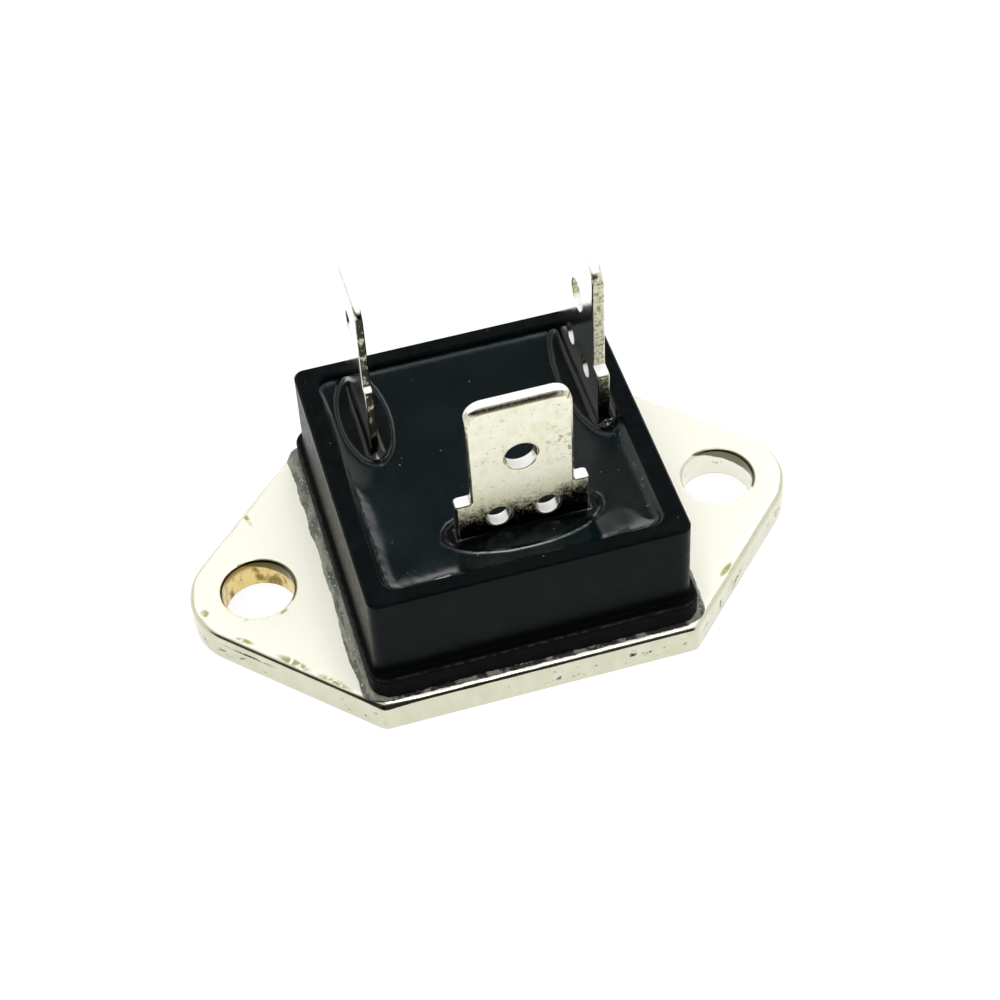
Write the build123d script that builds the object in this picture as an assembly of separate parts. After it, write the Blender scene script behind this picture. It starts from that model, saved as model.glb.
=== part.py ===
from build123d import *
from math import asin, atan2, hypot, radians, sin, tan
import os

# Isolated triac module, millimetres. The origin is on the underside of the base plate,
# midway between the two screw holes. X runs through the holes, Y from front to back, Z up.

# Base plate
HOLE_PITCH = 30.1
HOLE_DIAMETER = 4.5
PLATE_THICKNESS = 2.2
PLATE_MARGIN = 0.5           # plate left showing before and behind the flange
TIP_RADIUS = 4.25            # rounded point, concentric with its screw hole
FLANK_SETBACK = 0.4          # flanks start this far inside the ends of the flange
PLATE_CORNER_RADIUS = 0.8
PLATE_EDGE_ROLL = 0.35       # upper edge, drawn down by the punch
HOLE_EDGE_BREAK = 0.2        # chamfer at the upper mouths of the screw holes

# Case
CASE_WIDTH = 19.6            # outside, at the rim
CASE_DEPTH = 19.9
CASE_HEIGHT = 7.7
SIDE_WALL = 1.25             # left and right walls, at the rim
END_WALL = 1.1               # front and back walls, at the rim
WALL_DRAFT = 0.5             # degrees, so that the moulding leaves its tool
CASE_CORNER_RADIUS = 0.7
CAVITY_CORNER_RADIUS = 0.9
RIM_EDGE_BREAK = 0.12        # chamfer round the top of the walls, inside and out
FLANGE_HEIGHT = 1.6
FLANGE_SIDE = 0.4            # step beyond the left and right walls
FLANGE_FRONT = 0.7           # step beyond the front and back walls
FLANGE_EDGE_ROUND = 0.25
FLANGE_FOOT_FILLET = 0.3

# Adhesive under and round the flange
ADHESIVE_FILM = 0.2
BEAD_SIDE = 0.8
BEAD_FRONT = 0.16
BEAD_RISE = 0.35             # how far it wets the side of the flange

# Insulated substrate
SOLDER = 0.06
BASE_SOLDER = 0.1
CERAMIC_GAP = 0.7            # to the inside of the case
CERAMIC_THICKNESS = 0.63
COPPER_FOIL = 0.25
FOIL_MARGIN = 0.5            # bare ceramic left round the foil
LAND_MARGIN = 0.25           # land left showing round the foot it carries

# Main terminals: two like stampings
SHEET = 0.8
BLADE_WIDTH = 6.3
BLADE_LENGTH = 7.7
BLADE_CORNER = 1.1
TIP_BEVEL_DEPTH = 0.25       # into the sheet, on the outer face
TIP_BEVEL_LENGTH = 0.5       # down the outer face
INNER_BEVEL = 0.1            # both ways, on the inner face
SHOULDER_WIDTH = 8.2
SHOULDER_HEIGHT = 8.8        # above the underside of the foot
SHOULDER_ROUND = 0.35
DETENT_DIAMETER = 2.1
DETENT_ABOVE_SHOULDER = 3.1
VENT_DIAMETER = 1.4          # two small holes just above the resin
VENT_SPACING = 3.0
VENT_BELOW_SHOULDER = 1.6
BEND_RADIUS = 0.5            # inside the bend
FRONT_TERMINAL_X = 0.65      # middle of its width
FRONT_WALL_GAP = 2.9         # outer face of the front terminal to the front wall
REAR_SIDE_GAP = 0.5          # outer face of the rear terminal to the right wall
REAR_BACK_GAP = 0.2          # shoulder of the rear terminal to the back wall

# Gate terminal
GATE_SHEET = 0.5
GATE_BLADE_WIDTH = 4.8
GATE_BLADE_LENGTH = 6.2
GATE_BLADE_CORNER = 1.0
GATE_BEVEL_DEPTH = 0.15
GATE_BEVEL_LENGTH = 0.3
GATE_SHOULDER_WIDTH = 5.8
GATE_SHOULDER_HEIGHT = 11.2
GATE_DETENT_DIAMETER = 1.5
GATE_DETENT_ABOVE_SHOULDER = 3.1
GATE_SIDE_GAP = 1.95         # outer face to the left wall
GATE_BACK_GAP = 0.75         # shoulder to the back wall
GATE_FOOT_LENGTH = 2.2
GATE_FOOT_WIDTH = 4.0
GATE_NECK = 1.8              # height of the narrow part above the foot

# Chip
CHIP_SIZE = 7.6
CHIP_THICKNESS = 0.25
CHIP_BACK_GAP = 3.3          # chip to the back wall; its gate pad faces the gate's foot
CHIP_MARGIN = 0.6            # bare foot left behind the chip
GROOVE_WIDTH = 0.4           # glass-filled groove that ends the junctions
GROOVE_DEPTH = 0.1
GROOVE_INSET = 0.25
GATE_PAD_INSET = 1.3         # gate corner of the chip, from both edges
GATE_PAD_CLEARANCE = 0.9     # gate pad's middle to the foot that lies on the chip
GATE_WIRE = 0.5
GATE_WIRE_END = 0.5          # straight end, either way from the middle of the gate pad
GATE_WIRE_RISE = 0.7         # crown of the wire above the chip
GATE_WIRE_CROWN = 0.8        # flat length of the crown
JOINT_RADIUS = 0.6
JOINT_TOP_RADIUS = 0.36
JOINT_HEIGHT = 0.42

# Filling
GEL_HEIGHT = 3.8             # above the base plate
RESIN_BELOW_RIM = 0.75       # flat middle of the surface
WALL_CLIMB = 0.45            # resin drawn up at the walls
WALL_CLIMB_REACH = 1.2
POST_CLIMB = 0.55            # resin drawn up at the terminals
POST_CLIMB_REACH = 1.1
MENISCUS_STEPS = ((0.0, 1.0), (0.14, 0.62), (0.45, 0.26), (1.0, 0.03))  # (rise, reach)

CORNER_PULL = 0.5            # resin rounds the corners of its surface by this much more
BEAD_CREST = 0.05            # thickness of the bead where it ends on the flange

STANDING = (Align.CENTER, Align.CENTER, Align.MIN)
NEAR = 0.01

# Levels that the stack gives
plate_top = PLATE_THICKNESS
case_bottom = plate_top + ADHESIVE_FILM
case_top = case_bottom + CASE_HEIGHT
foil_bottom = plate_top + BASE_SOLDER
ceramic_bottom = foil_bottom + COPPER_FOIL
land_bottom = ceramic_bottom + CERAMIC_THICKNESS
land_top = land_bottom + COPPER_FOIL
front_foot = land_top + SOLDER
chip_bottom = front_foot + SHEET + SOLDER
chip_top = chip_bottom + CHIP_THICKNESS
rear_foot = chip_top + SOLDER
gate_foot = land_top + SOLDER
gel_top = plate_top + GEL_HEIGHT
resin_level = case_top - RESIN_BELOW_RIM
wall_height = CASE_HEIGHT - FLANGE_HEIGHT
wall_spread = wall_height * tan(radians(WALL_DRAFT))

# Plan sizes that the parts share
cavity_width = CASE_WIDTH - 2 * SIDE_WALL
cavity_depth = CASE_DEPTH - 2 * END_WALL
flange_width = CASE_WIDTH + 2 * (wall_spread + FLANGE_SIDE)
flange_depth = CASE_DEPTH + 2 * (wall_spread + FLANGE_FRONT)
flange_radius = CASE_CORNER_RADIUS + wall_spread + FLANGE_SIDE
plate_depth = flange_depth + 2 * PLATE_MARGIN
ceramic_width = cavity_width - 2 * CERAMIC_GAP
ceramic_depth = cavity_depth - 2 * CERAMIC_GAP

# Places of the terminals, from the walls that they stand by, and of the chip
front_y = FRONT_WALL_GAP - cavity_depth / 2
rear_x = cavity_width / 2 - REAR_SIDE_GAP
rear_y = cavity_depth / 2 - REAR_BACK_GAP - SHOULDER_WIDTH / 2
gate_x = GATE_SIDE_GAP - cavity_width / 2
gate_y = cavity_depth / 2 - GATE_BACK_GAP - GATE_SHOULDER_WIDTH / 2
gate_foot_end = gate_x + GATE_FOOT_LENGTH
chip_x = FRONT_TERMINAL_X
chip_y = cavity_depth / 2 - CHIP_BACK_GAP - CHIP_SIZE / 2
front_foot_end = chip_y + CHIP_SIZE / 2 + CHIP_MARGIN
gate_pad_x = chip_x - CHIP_SIZE / 2 + GATE_PAD_INSET
gate_pad_y = chip_y + CHIP_SIZE / 2 - GATE_PAD_INSET
rear_foot_end = gate_pad_x + GATE_PAD_CLEARANCE


def plain_box(x_range, y_range, z_range):
    """A box from its three ranges."""
    size = [high - low for low, high in (x_range, y_range, z_range)]
    return Pos(x_range[0], y_range[0], z_range[0]) * Box(*size, align=(Align.MIN,) * 3)


def tile(width, depth, bottom, thickness):
    """A flat rectangular layer, centred on the Z axis."""
    return Pos(0, 0, bottom) * extrude(Rectangle(width, depth), thickness)


def rounded_prism(width, depth, radius, bottom, top):
    """An upright prism with rounded corners, centred on the Z axis."""
    return Pos(0, 0, bottom) * extrude(RectangleRounded(width, depth, radius), top - bottom)


def cavity(bottom, top):
    """The room inside the four walls, between two levels."""
    return rounded_prism(cavity_width, cavity_depth, CAVITY_CORNER_RADIUS, bottom, top)


def make_base_plate():
    """Stretched hexagon whose points are rounded about the screw holes."""
    hole_x = HOLE_PITCH / 2
    half_depth = plate_depth / 2
    corner_x = flange_width / 2 - FLANK_SETBACK
    reach = hypot(hole_x - corner_x, half_depth)
    flank_angle = atan2(half_depth, hole_x - corner_x) - asin(TIP_RADIUS / reach)
    point_x = hole_x + TIP_RADIUS / sin(flank_angle)
    outline = Polygon(
        (point_x, 0),
        (corner_x, half_depth),
        (-corner_x, half_depth),
        (-point_x, 0),
        (-corner_x, -half_depth),
        (corner_x, -half_depth),
        align=None,
    )
    corners = outline.vertices().sort_by(Axis.X)
    tips = [corners[0], corners[-1]]
    outline = fillet(tips, TIP_RADIUS)
    others = [v for v in outline.vertices() if abs(abs(v.Y) - half_depth) < NEAR]
    outline = fillet(others, PLATE_CORNER_RADIUS)
    blank = extrude(outline, PLATE_THICKNESS)
    blank = fillet(blank.faces().sort_by(Axis.Z)[-1].edges(), PLATE_EDGE_ROLL)
    for side in (-1, 1):
        blank -= Pos(side * hole_x, 0, 0) * Cylinder(
            HOLE_DIAMETER / 2, 3 * PLATE_THICKNESS
        )
    mouths = blank.faces().sort_by(Axis.Z)[-1].edges().filter_by(GeomType.CIRCLE)
    mouths = [e for e in mouths if abs(e.radius - HOLE_DIAMETER / 2) < NEAR]
    return chamfer(mouths, HOLE_EDGE_BREAK)


def make_case():
    """Four drafted walls on a stepped flange, open at the top and the bottom."""
    flange_top = case_bottom + FLANGE_HEIGHT
    flange = rounded_prism(flange_width, flange_depth, flange_radius, case_bottom, flange_top)
    flange = fillet(flange.faces().sort_by(Axis.Z)[-1].edges(), FLANGE_EDGE_ROUND)
    foot = RectangleRounded(
        CASE_WIDTH + 2 * wall_spread,
        CASE_DEPTH + 2 * wall_spread,
        CASE_CORNER_RADIUS + wall_spread,
    )
    walls = Pos(0, 0, flange_top) * extrude(foot, wall_height, taper=WALL_DRAFT)
    shell = flange + walls
    on_step = shell.edges().filter_by_position(
        Axis.Z, flange_top - NEAR, flange_top + NEAR
    )
    wall_foot = [e for e in on_step if inside_flange_edge(e)]
    shell = fillet(wall_foot, FLANGE_FOOT_FILLET)
    shell -= cavity(case_bottom - 1, case_top + 1)
    return chamfer(shell.faces().sort_by(Axis.Z)[-1].edges(), RIM_EDGE_BREAK)


def inside_flange_edge(edge):
    """True for the edges where the walls stand on the flange."""
    middle = edge.center()
    half_width = CASE_WIDTH / 2 + wall_spread + FLANGE_SIDE / 4
    half_depth = CASE_DEPTH / 2 + wall_spread + FLANGE_SIDE / 4
    return abs(middle.X) < half_width and abs(middle.Y) < half_depth


def make_adhesive(case):
    """Film under the flange with the bead that it squeezed out."""
    skirt = RectangleRounded(
        flange_width + 2 * BEAD_SIDE, flange_depth + 2 * BEAD_FRONT, flange_radius
    )
    crest = RectangleRounded(
        flange_width + 2 * BEAD_CREST, flange_depth + 2 * BEAD_CREST, flange_radius
    )
    bead = loft(
        [
            Pos(0, 0, plate_top) * skirt,
            Pos(0, 0, case_bottom + BEAD_RISE) * crest,
        ]
    )
    return bead - case - cavity(plate_top - 1, case_top)


def terminal(sheet, blade, shoulder, foot, bevel, holes):
    """A stamped blade with shoulders, bent to a flat foot at its lower end.

    It stands on Z = 0 with its outer face on Y = 0, and its foot runs towards +Y.
    blade is (width, length, corner), shoulder (width, height), foot (width, length, neck),
    bevel (depth, length) at the outer face and holes a list of (x, z, diameter).
    """
    blade_width, blade_length, blade_corner = blade
    shoulder_width, shoulder_height = shoulder
    foot_width, foot_length, neck = foot
    top = shoulder_height + blade_length
    profile = Polygon(
        (0, 0),
        (foot_length, 0),
        (foot_length, sheet),
        (sheet, sheet),
        (sheet, top),
        (0, top),
        align=None,
    )
    heel = [v for v in profile.vertices() if abs(v.X) + abs(v.Y) < NEAR]
    profile = fillet(heel, BEND_RADIUS + sheet)
    crook = [v for v in profile.vertices() if abs(v.X - sheet) + abs(v.Y - sheet) < NEAR]
    profile = fillet(crook, BEND_RADIUS)
    strip = extrude(Plane.YZ * profile, shoulder_width, both=True)

    body = Pos(0, (shoulder_height + neck) / 2) * RectangleRounded(
        shoulder_width, shoulder_height - neck, SHOULDER_ROUND
    )
    upper = Pos(0, top / 2) * RectangleRounded(blade_width, top, blade_corner)
    lower = Rectangle(foot_width, 2 * (neck + SHOULDER_ROUND))
    blade_window = Pos(0, (top + neck) / 2) * Rectangle(2 * shoulder_width, top - neck)
    outline = body + (upper & blade_window) + lower
    piece = strip & extrude(Plane.XZ * outline, 2 * foot_length, both=True)

    bevel_depth, bevel_length = bevel
    outer_face = piece.faces().sort_by(Axis.Y)[0]
    outer_tip = tip_edges(piece, top, blade_corner, 0)
    piece = chamfer(outer_tip, bevel_length, bevel_depth, reference=outer_face)
    piece = chamfer(tip_edges(piece, top, blade_corner, sheet), INNER_BEVEL)
    for x, z, diameter in holes:
        piece -= Pos(x, 0, z) * Rot(90, 0, 0) * Cylinder(diameter / 2, 4 * sheet)
    return piece


def tip_edges(piece, top, corner, face_y):
    """The edges round a blade's tip that lie on one face of the sheet."""
    tip = piece.edges().filter_by_position(Axis.Z, top - corner / 2, top + NEAR)
    on_face = tip.filter_by_position(Axis.Y, face_y - NEAR, face_y + NEAR)
    return [e for e in on_face if abs(e.bounding_box().size.Y) < NEAR]


def main_terminal(foot_length):
    """One of the two like stampings, with a foot of its own length."""
    vent_height = SHOULDER_HEIGHT - VENT_BELOW_SHOULDER
    holes = [(0, SHOULDER_HEIGHT + DETENT_ABOVE_SHOULDER, DETENT_DIAMETER)]
    holes += [(side * VENT_SPACING / 2, vent_height, VENT_DIAMETER) for side in (-1, 1)]
    return terminal(
        sheet=SHEET,
        blade=(BLADE_WIDTH, BLADE_LENGTH, BLADE_CORNER),
        shoulder=(SHOULDER_WIDTH, SHOULDER_HEIGHT),
        foot=(SHOULDER_WIDTH, foot_length, SHEET),
        bevel=(TIP_BEVEL_DEPTH, TIP_BEVEL_LENGTH),
        holes=holes,
    )


def make_front_terminal():
    """Main terminal 2: its foot lies on the substrate and carries the chip."""
    stamping = main_terminal(front_foot_end - front_y)
    return Pos(FRONT_TERMINAL_X, front_y, front_foot) * stamping


def make_rear_terminal():
    """Main terminal 1: its foot lies on the chip, so it stands higher."""
    stamping = main_terminal(rear_x - rear_foot_end)
    return Pos(rear_x, rear_y, rear_foot) * Rot(0, 0, 90) * stamping


def make_gate_terminal():
    """The thinner terminal, with its foot on a land of its own."""
    detent = GATE_SHOULDER_HEIGHT + GATE_DETENT_ABOVE_SHOULDER
    stamping = terminal(
        sheet=GATE_SHEET,
        blade=(GATE_BLADE_WIDTH, GATE_BLADE_LENGTH, GATE_BLADE_CORNER),
        shoulder=(GATE_SHOULDER_WIDTH, GATE_SHOULDER_HEIGHT),
        foot=(GATE_FOOT_WIDTH, GATE_FOOT_LENGTH, GATE_NECK),
        bevel=(GATE_BEVEL_DEPTH, GATE_BEVEL_LENGTH),
        holes=[(0, detent, GATE_DETENT_DIAMETER)],
    )
    return Pos(gate_x, gate_y, gate_foot) * Rot(0, 0, -90) * stamping


def front_foot_area(margin, bottom, top):
    """A layer under or over the flat of the front terminal's foot."""
    half = SHOULDER_WIDTH / 2 + margin
    return plain_box(
        (FRONT_TERMINAL_X - half, FRONT_TERMINAL_X + half),
        (front_y + BEND_RADIUS + SHEET - margin, front_foot_end + margin),
        (bottom, top),
    )


def gate_foot_area(margin, bottom, top):
    """A layer under the flat of the gate terminal's foot."""
    half = GATE_FOOT_WIDTH / 2 + margin
    start = gate_x + BEND_RADIUS + GATE_SHEET
    return plain_box(
        (start - margin, gate_foot_end + margin),
        (gate_y - half, gate_y + half),
        (bottom, top),
    )


def make_chip():
    """Silicon die with the groove that ends its junctions."""
    die = Pos(chip_x, chip_y, chip_bottom) * extrude(
        Rectangle(CHIP_SIZE, CHIP_SIZE), CHIP_THICKNESS
    )
    outer = CHIP_SIZE - 2 * GROOVE_INSET
    inner = outer - 2 * GROOVE_WIDTH
    ring = Rectangle(outer, outer) - Rectangle(inner, inner)
    groove = Pos(chip_x, chip_y, chip_top - GROOVE_DEPTH) * extrude(ring, GROOVE_DEPTH)
    return die - groove


def make_chip_upper_solder():
    """Solder where the rear terminal's foot lies on the chip's upper contact."""
    half = CHIP_SIZE / 2 - GROOVE_INSET - GROOVE_WIDTH
    rear_half = SHOULDER_WIDTH / 2
    contact = plain_box(
        (chip_x - half, chip_x + half), (chip_y - half, chip_y + half), (chip_top, rear_foot)
    )
    foot = plain_box(
        (rear_foot_end, rear_x - BEND_RADIUS - SHEET),
        (rear_y - rear_half, rear_y + rear_half),
        (chip_top, rear_foot),
    )
    return contact & foot


def make_gate_wire():
    """Wire from the gate terminal's foot, over a crown, down to the gate pad."""
    low = gate_foot + GATE_SHEET + SOLDER + GATE_WIRE / 2
    pad = chip_top + SOLDER + GATE_WIRE / 2
    crown = chip_top + GATE_WIRE_RISE + GATE_WIRE / 2
    start_x = gate_foot_end - 2 * JOINT_RADIUS
    left_x = gate_foot_end
    end_x = gate_pad_x + GATE_WIRE_END
    right_x = gate_pad_x - GATE_WIRE_END
    middle_x = (left_x + right_x) / 2
    path = Polyline(
        (start_x, gate_pad_y, low),
        (left_x, gate_pad_y, low),
        (middle_x - GATE_WIRE_CROWN / 2, gate_pad_y, crown),
        (middle_x + GATE_WIRE_CROWN / 2, gate_pad_y, crown),
        (right_x, gate_pad_y, pad),
        (end_x, gate_pad_y, pad),
    )
    section = Plane(origin=path @ 0, z_dir=path % 0) * Circle(GATE_WIRE / 2)
    return sweep(section, path, transition=Transition.RIGHT)


def make_gate_joints(wire):
    """A solder fillet at each end of the wire."""
    foot_x = gate_foot_end - JOINT_RADIUS
    joints = Part()
    for x, level in ((foot_x, gate_foot + GATE_SHEET), (gate_pad_x, chip_top)):
        cone = Cone(JOINT_RADIUS, JOINT_TOP_RADIUS, JOINT_HEIGHT, align=STANDING)
        joints += Pos(x, gate_pad_y, level) * cone
    return joints - wire


def flare(rise_height, reach, bottom, outline):
    """A loft that follows the curve of resin wetting a wall.

    outline(offset) gives the section at that distance from the wetted wall.
    """
    sections = []
    for rise, offset in MENISCUS_STEPS:
        level = bottom + rise_height * rise
        sections.append(Pos(0, 0, level) * outline(reach * offset))
    return loft(sections)


def post_collar(width, thickness):
    """Resin drawn up round an upright terminal, as a flared skirt."""

    def outline(offset):
        radius = thickness / 4 + offset
        return RectangleRounded(width + 2 * offset, thickness + 2 * offset, radius)

    return flare(POST_CLIMB, POST_CLIMB_REACH, resin_level, outline)


def pool():
    """The air above the resin, inside the curve that it makes at the walls."""

    def outline(offset):
        radius = CAVITY_CORNER_RADIUS + CORNER_PULL * offset
        return RectangleRounded(cavity_width - 2 * offset, cavity_depth - 2 * offset, radius)

    return flare(WALL_CLIMB, WALL_CLIMB_REACH, resin_level, outline)


def make_resin(terminals):
    """Hard epoxy above the gel, drawn up at the walls and at the terminals."""
    block = cavity(gel_top, resin_level + WALL_CLIMB) - pool()
    front_place = Pos(FRONT_TERMINAL_X, front_y + SHEET / 2)
    rear_place = Pos(rear_x - SHEET / 2, rear_y) * Rot(0, 0, 90)
    gate_place = Pos(gate_x + GATE_SHEET / 2, gate_y) * Rot(0, 0, 90)
    collars = [
        front_place * post_collar(SHOULDER_WIDTH, SHEET),
        rear_place * post_collar(SHOULDER_WIDTH, SHEET),
        gate_place * post_collar(GATE_SHOULDER_WIDTH, GATE_SHEET),
    ]
    for collar in collars:
        block += collar & cavity(resin_level, case_top)
    for stamping in terminals:
        block -= stamping
    return block


def make_gel(inner_pieces):
    """Soft gel that fills the case over the substrate, round all that stands in it."""
    block = cavity(plate_top, gel_top)
    for piece in inner_pieces:
        block -= piece
    return block


def build_pieces():
    """Every piece of the module, by name, in its place."""
    foil_width = ceramic_width - 2 * FOIL_MARGIN
    foil_depth = ceramic_depth - 2 * FOIL_MARGIN
    foot_top = front_foot + SHEET
    case = make_case()
    front_terminal = make_front_terminal()
    rear_terminal = make_rear_terminal()
    gate_terminal = make_gate_terminal()
    gate_wire = make_gate_wire()
    inner = {
        "insulator_solder": tile(foil_width, foil_depth, plate_top, BASE_SOLDER),
        "insulator_copper": tile(foil_width, foil_depth, foil_bottom, COPPER_FOIL),
        "insulator_ceramic": tile(
            ceramic_width, ceramic_depth, ceramic_bottom, CERAMIC_THICKNESS
        ),
        "main_2_land": front_foot_area(LAND_MARGIN, land_bottom, land_top),
        "gate_land": gate_foot_area(LAND_MARGIN, land_bottom, land_top),
        "main_2_solder": front_foot_area(0, land_top, front_foot),
        "gate_foot_solder": gate_foot_area(0, land_top, gate_foot),
        "chip_lower_solder": Pos(chip_x, chip_y) * tile(CHIP_SIZE, CHIP_SIZE, foot_top, SOLDER),
        "triac_chip": make_chip(),
        "chip_upper_solder": make_chip_upper_solder(),
        "gate_wire": gate_wire,
        "gate_wire_joints": make_gate_joints(gate_wire),
        "main_terminal_1": rear_terminal,
        "main_terminal_2": front_terminal,
        "gate_terminal": gate_terminal,
    }
    outer = {
        "base_plate": make_base_plate(),
        "case": case,
        "case_adhesive": make_adhesive(case),
        "silicone_gel": make_gel(inner.values()),
        "potting_resin": make_resin((front_terminal, rear_terminal, gate_terminal)),
    }
    return inner | outer


os.makedirs("parts", exist_ok=True)
for name, piece in build_pieces().items():
    export_step(piece, f"parts/{name}.step")
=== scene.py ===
import math
import random

import bpy
from mathutils import Matrix, Vector, noise
from mathutils.geometry import delaunay_2d_cdt


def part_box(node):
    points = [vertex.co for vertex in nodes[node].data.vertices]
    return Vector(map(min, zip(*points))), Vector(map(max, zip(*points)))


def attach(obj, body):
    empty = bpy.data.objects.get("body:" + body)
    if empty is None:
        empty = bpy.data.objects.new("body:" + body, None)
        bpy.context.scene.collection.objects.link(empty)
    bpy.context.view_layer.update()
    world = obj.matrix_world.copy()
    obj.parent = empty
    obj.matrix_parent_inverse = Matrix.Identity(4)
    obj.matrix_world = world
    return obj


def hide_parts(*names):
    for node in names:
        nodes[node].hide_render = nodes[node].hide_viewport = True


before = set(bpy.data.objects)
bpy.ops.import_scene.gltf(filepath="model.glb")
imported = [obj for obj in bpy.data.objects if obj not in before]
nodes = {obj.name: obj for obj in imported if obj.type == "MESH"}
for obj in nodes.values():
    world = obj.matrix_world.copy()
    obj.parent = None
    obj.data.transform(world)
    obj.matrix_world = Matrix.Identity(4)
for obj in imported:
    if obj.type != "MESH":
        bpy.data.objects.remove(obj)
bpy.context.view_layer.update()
MM = 0.001

# ---------------------------------------------------------------------------------------
# Studio: camera, white paper and soft light.
# The module lies on white paper in a pale room, under three soft lamps. Its gloss sees
# the room dark behind and left of the camera and high above the far side, with the low
# far side bright and a small bright lamp overhead.
# ---------------------------------------------------------------------------------------
LENS = 81.54
CAMERA_SPOT = (-0.0210, -0.0895, 0.1114)
CAMERA_TURN = -13.62  # degrees
CAMERA_DOWN = 49.12
CAMERA_ROLL = -3.32
WHITE = (1, 1, 1, 1)
FILL_LIGHT = 0.55
DARK_PATCHES = (  # direction, angle of the core, angle of the rim, how much darker
    ((-0.2, -0.9, 0.5), 34, 50, 0.98),  # behind the camera
    ((-0.8, -0.4, 0.5), 20, 38, 0.95),  # left of the camera
    ((0.154, 0.636, 0.756), 14, 24, 0.93),  # high above the far side
    ((0.3, 0.9, 0.35), 12, 36, -1.6),  # the bright low far side
    ((0.1, 0.05, 1.0), 5, 13, -15.0),  # the bright lamp overhead
)
SOFTBOXES = (  # name, place, watts
    ("overhead_softbox", (0.0, 0.02, 0.35), 0.42),
    ("front_left_softbox", (-0.24, -0.26, 0.19), 0.75),
    ("right_softbox", (0.3, 0.0, 0.2), 0.36),
)
SOFTBOX_SIDE = 0.22
MODULE_MIDDLE = Vector((0, 0, 0.008))
PAPER_HALF = 600  # millimetres
PAPER_GLOW = 1.2
GLOW_SHARE = 0.7


def turned_about(axis, degrees):
    return Matrix.Rotation(math.radians(degrees), 4, axis)


def add_object(name, data):
    """A new object in the scene."""
    piece = bpy.data.objects.new(name, data)
    bpy.context.scene.collection.objects.link(piece)
    return piece


def add_mesh(name, verts, faces, smooth=True):
    """A new object from points in millimetres."""
    mesh = bpy.data.meshes.new(name)
    mesh.from_pydata([Vector(v) * MM for v in verts], [], faces)
    mesh.validate()
    mesh.polygons.foreach_set("use_smooth", [smooth] * len(mesh.polygons))
    mesh.update()
    return add_object(name, mesh)


class Wiring:
    """Adds nodes to a node tree. A value is a number, a colour or another node's output."""

    def __init__(self, tree):
        self.tree = tree

    def node(self, kind, inputs=(), **settings):
        """The outputs of a new node with its settings and its inputs, by number or name."""
        new = self.tree.nodes.new("ShaderNode" + kind)
        for name, value in settings.items():
            setattr(new, name, value)
        for name, value in dict(inputs).items():
            if isinstance(value, bpy.types.NodeSocket):
                self.tree.links.new(value, new.inputs[name])
            else:
                new.inputs[name].default_value = value
        return new.outputs

    def combine(self, operation, *values):
        """Numbers put together, each with what came before it."""
        result = values[0]
        for value in values[1:]:
            result = self.node("Math", {0: result, 1: value}, operation=operation)["Value"]
        return result

    def times(self, *values):
        return self.combine("MULTIPLY", *values)

    def plus(self, *values):
        return self.combine("ADD", *values)

    def less(self, *values):
        return self.combine("SUBTRACT", *values)

    def most(self, *values):
        return self.combine("MAXIMUM", *values)

    def beyond(self, share):
        """The rest of a share."""
        return self.less(1.0, share)

    def vector(self, operation, *values):
        """Vectors put together; a length or a dot product is a number."""
        outputs = self.node("VectorMath", enumerate(values), operation=operation)
        return outputs["Value" if operation in ("LENGTH", "DOT_PRODUCT") else "Vector"]

    def ramp(self, value, low, high, to_low=0.0, to_high=1.0, smooth=True):
        """The value's range from low to high, spread over another and held outside it."""
        return self.node(
            "MapRange",
            {"Value": value, "From Min": low, "From Max": high, "To Min": to_low, "To Max": to_high},
            interpolation_type="SMOOTHSTEP" if smooth else "LINEAR",
        )["Result"]


def light_room():
    """World that is white to the eye, plain to matt surfaces and patched to gloss."""
    world = bpy.data.worlds.new("room")
    bpy.context.scene.world = world
    world.use_nodes = True
    world.node_tree.nodes.clear()
    room = Wiring(world.node_tree)
    way = room.node("TexCoord")["Generated"]
    shade = 1.0
    for direction, core, rim, darker in DARK_PATCHES:
        cosine = room.vector("DOT_PRODUCT", way, Vector(direction).normalized())
        core, rim = math.cos(math.radians(core)), math.cos(math.radians(rim))
        shade = room.times(shade, room.ramp(cosine, rim, core, 1.0, 1.0 - darker))
    ray = room.node("LightPath")
    gloss = room.most(ray["Is Glossy Ray"], ray["Is Transmission Ray"])
    skies = [
        room.node("Background", {"Color": WHITE, "Strength": strength})[0]
        for strength in (FILL_LIGHT, shade, 1.0)
    ]
    unseen = room.node("MixShader", {0: gloss, 1: skies[0], 2: skies[1]})[0]
    sky = room.node("MixShader", {0: ray["Is Camera Ray"], 1: unseen, 2: skies[2]})[0]
    room.node("OutputWorld", {"Surface": sky})


def hang_softbox(name, place, watts):
    """A square area lamp that looks at the module and that eye and gloss don't see."""
    lamp = bpy.data.lights.new(name, "AREA")
    lamp.shape = "SQUARE"
    lamp.size = SOFTBOX_SIDE
    lamp.energy = watts
    softbox = add_object(name, lamp)
    softbox.location = place
    softbox.rotation_euler = (MODULE_MIDDLE - Vector(place)).to_track_quat("-Z", "Y").to_euler()
    softbox.visible_camera = False
    softbox.visible_glossy = False


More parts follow.
